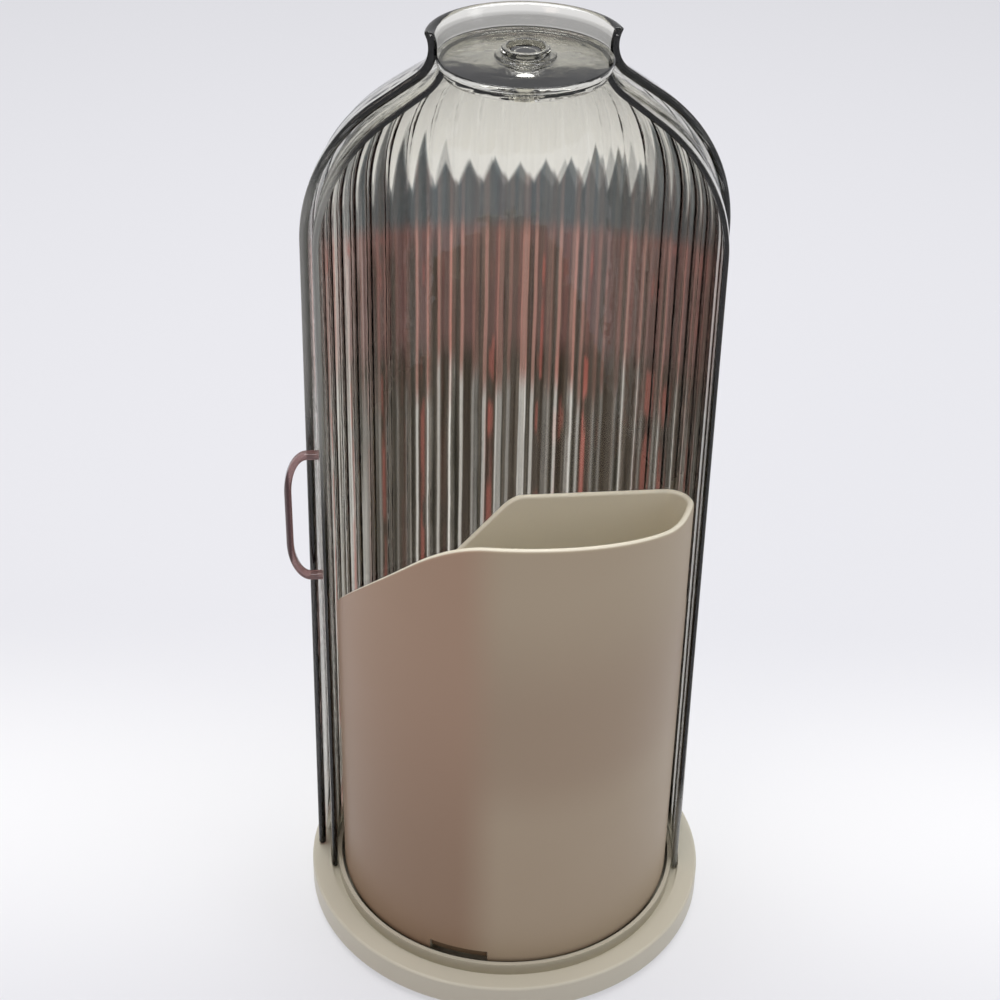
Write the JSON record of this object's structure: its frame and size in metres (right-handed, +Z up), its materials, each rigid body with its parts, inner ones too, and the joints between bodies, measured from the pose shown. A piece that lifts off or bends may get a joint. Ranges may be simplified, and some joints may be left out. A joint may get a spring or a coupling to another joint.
{
  "type": "makeup brush holder",
  "caption": "Upright holder for makeup brushes: a divided cup on a turntable, inside a clear fluted dome whose front half slides round to open.",
  "frame": {"origin": "middle of the underside of the base, on the axis that the turntable and the door share", "axes": "+Z up along the shared axis, -Y is the front where the dome is open, +X is to the right seen from the front"},
  "size_m": [0.1539, 0.15, 0.341],
  "materials": {
    "body_plastic": "moulded warm grey, satin",
    "cup_plastic": "moulded taupe, fine matt",
    "turntable_plastic": "moulded brown, matt",
    "clear_plastic": "clear moulded plastic with a smoky edge, polished",
    "handle_plastic": "smoky clear moulding, polished",
    "inner_plastic": "slippery natural white plastic",
    "mat_rubber": "soft foam rubber",
    "screw_steel": "zinc plated",
    "ball_steel": "polished"
  },
  "bodies": {
    "base": {"base_tray": "body_plastic", "base_cover": "body_plastic", "cover_screws": "screw_steel", "nonslip_mat": "mat_rubber", "lower_race": "inner_plastic", "lower_race_screws": "screw_steel", "spindle_washer": "screw_steel", "spindle_screw": "screw_steel", "rear_shell": "clear_plastic", "pivot_pin": "handle_plastic", "pivot_spacer": "inner_plastic", "pivot_washer": "inner_plastic", "pivot_screw": "screw_steel"},
    "door": {"door_shell": "clear_plastic", "door_handle": "handle_plastic"},
    "platform": {"turntable": "turntable_plastic", "upper_race": "inner_plastic", "upper_race_screws": "screw_steel"},
    "bearing": {"ball_cage": "inner_plastic", "bearing_balls": "ball_steel"},
    "cup": {"brush_cup": "cup_plastic"}
  },
  "joints": [
    {"name": "door_swing", "type": "hinge", "parent": "base", "child": "door", "pos_m": [0, 0, 0.334], "axis": [0, 0, 1], "range_deg": [-2, 186]},
    {"name": "turntable_spin", "type": "hinge", "parent": "base", "child": "platform", "pos_m": [0, 0, 0.0148], "axis": [0, 0, 1], "continuous": true},
    {"name": "bearing_spin", "type": "hinge", "parent": "base", "child": "bearing", "pos_m": [0, 0, 0.011], "axis": [0, 0, 1], "continuous": true},
    {"name": "cup_lift", "type": "slide", "parent": "platform", "child": "cup", "axis": [0, 0, 1], "range_m": [0, 0.02]}
  ],
  "couplings": [
    {"joint": "bearing_spin", "follows": "turntable_spin", "ratio": 0.5}
  ]
}
